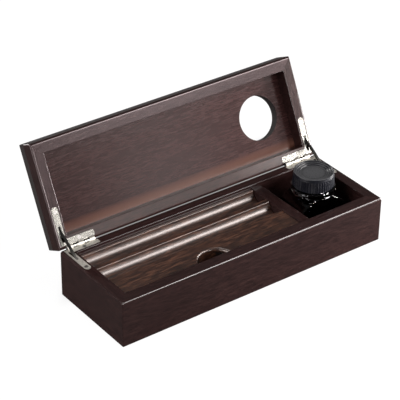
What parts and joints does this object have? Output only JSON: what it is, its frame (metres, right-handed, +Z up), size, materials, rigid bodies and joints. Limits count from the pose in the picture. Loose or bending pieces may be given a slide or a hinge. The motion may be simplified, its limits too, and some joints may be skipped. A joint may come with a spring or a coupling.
{
  "type": "fountain pen case",
  "caption": "Dark wooden pen case with a stay-hinged lid, a fluted lift-out pen tray with a finger notch, and a well for a capped ink bottle that pokes through the lid.",
  "frame": {"origin": "middle of the base's underside, on the surface it stands on", "axes": "+X along the length towards the ink bottle, +Y from the front to the hinges, +Z up"},
  "size_m": [0.26, 0.143, 0.1191],
  "materials": {
    "dark_wood": "dark stained, satin lacquer",
    "floor_board": "dark stained board",
    "nickel": "nickel plated",
    "stay_steel": "darkened",
    "steel_pin": "drawn wire",
    "screw_steel": "nickel plated, slotted",
    "ink_glass": "clear pressed glass",
    "ink": "black liquid",
    "liner": "foam disc",
    "cap_plastic": "moulded, ribbed skirt"
  },
  "bodies": {
    "base": {"base_front_board": "dark_wood", "base_back_board": "dark_wood", "base_left_board": "dark_wood", "base_right_board": "dark_wood", "base_floor": "floor_board", "divider": "dark_wood", "tray_rest_left": "dark_wood", "tray_rest_right": "dark_wood", "hinge_base_leaf_left": "nickel", "hinge_pin_left": "steel_pin", "base_leaf_screws_left": "screw_steel", "hinge_base_leaf_right": "nickel", "hinge_pin_right": "steel_pin", "base_leaf_screws_right": "screw_steel"},
    "lid": {"lid_top": "dark_wood", "lid_front_rail": "dark_wood", "lid_back_rail": "dark_wood", "lid_left_rail": "dark_wood", "lid_right_rail": "dark_wood", "hinge_lid_leaf_left": "nickel", "lid_leaf_screws_left": "screw_steel", "hinge_lid_leaf_right": "nickel", "lid_leaf_screws_right": "screw_steel"},
    "left_stay": {"stay_strut_left": "stay_steel", "stay_pins_left": "steel_pin"},
    "right_stay": {"stay_strut_right": "stay_steel", "stay_pins_right": "steel_pin"},
    "tray": {"pen_tray": "dark_wood"},
    "bottle": {"bottle_glass": "ink_glass", "bottle_ink": "ink"},
    "liner": {"cap_liner": "liner"},
    "cap": {"bottle_cap": "cap_plastic"}
  },
  "joints": [
    {"name": "lid_hinge", "type": "hinge", "parent": "base", "child": "lid", "pos_m": [0, 0.044, 0.04155], "axis": [-1, 0, 0], "range_deg": [-116.5, 0]},
    {"name": "left_stay_swing", "type": "hinge", "parent": "base", "child": "left_stay", "pos_m": [0, 0.044, 0.04155], "axis": [-1, 0, 0], "range_deg": [-58.75, 0.5]},
    {"name": "right_stay_swing", "type": "hinge", "parent": "base", "child": "right_stay", "pos_m": [0, 0.044, 0.04155], "axis": [-1, 0, 0], "range_deg": [-58.75, 0.5]},
    {"name": "tray_lift", "type": "slide", "parent": "base", "child": "tray", "axis": [0, 0, 1], "range_m": [0, 0.06]},
    {"name": "bottle_lift", "type": "slide", "parent": "base", "child": "bottle", "axis": [0, 0, 1], "range_m": [0, 0.08]},
    {"name": "cap_lift", "type": "slide", "parent": "bottle", "child": "liner", "axis": [0, 0, 1], "range_m": [0, 0.03]},
    {"name": "cap_turn", "type": "hinge", "parent": "liner", "child": "cap", "pos_m": [0.0914, -0.0003, 0.055], "axis": [0, 0, 1], "range_deg": [0, 540]}
  ],
  "couplings": [
    {"joint": "left_stay_swing", "follows": "lid_hinge", "ratio": 0.5},
    {"joint": "right_stay_swing", "follows": "lid_hinge", "ratio": 0.5}
  ]
}
